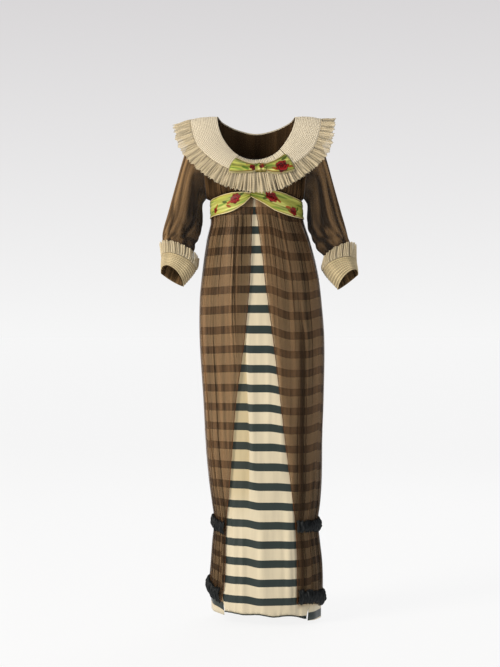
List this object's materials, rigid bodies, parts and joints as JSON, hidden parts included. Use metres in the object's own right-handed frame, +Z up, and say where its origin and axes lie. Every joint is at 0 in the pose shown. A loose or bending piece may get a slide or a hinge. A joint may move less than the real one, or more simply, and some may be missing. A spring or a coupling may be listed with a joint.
{
  "type": "evening dress",
  "caption": "High-waisted evening dress with a striped silk underskirt, sheer open tunic, wide pleated collar, cuffs and a flowered ribbon belt.",
  "frame": {"origin": "midway between the tops of the shoulders, where the wearer carries the dress", "axes": "+Z up, the front of the dress faces -Y, the wearer's left is +X"},
  "size_m": [0.5319, 0.324, 1.3536],
  "materials": {
    "chiffon": "brown silk chiffon, sheer, plain woven",
    "striped_silk": "ivory silk satin with dark green woven cross stripes",
    "linen": "cream open-weave linen with a fine woven check",
    "pleated_linen": "cream linen pressed in narrow pleats",
    "ribbon": "lime green silk ribbon with woven stripes and red flowers",
    "ruched_silk": "black green silk gathered in small puffs"
  },
  "bodies": {
    "root": {"tunic_left": "chiffon", "tunic_right": "chiffon", "underskirt_front": "striped_silk", "underskirt_back": "striped_silk", "bodice_front": "chiffon", "bodice_back": "chiffon", "sleeve_left": "chiffon", "sleeve_right": "chiffon", "collar_linen": "linen", "collar_insert": "linen", "collar_ruffle": "pleated_linen", "cuff_linen_left": "linen", "cuff_linen_right": "linen", "cuff_ruffle_left": "pleated_linen", "cuff_ruffle_right": "pleated_linen", "bow_loop_left": "ribbon", "bow_loop_right": "ribbon", "bow_knot": "ribbon", "belt_left": "ribbon", "belt_right": "ribbon", "band_upper_left": "ruched_silk", "band_upper_right": "ruched_silk", "band_hem_left": "ruched_silk", "band_hem_right": "ruched_silk"}
  },
  "joints": []
}
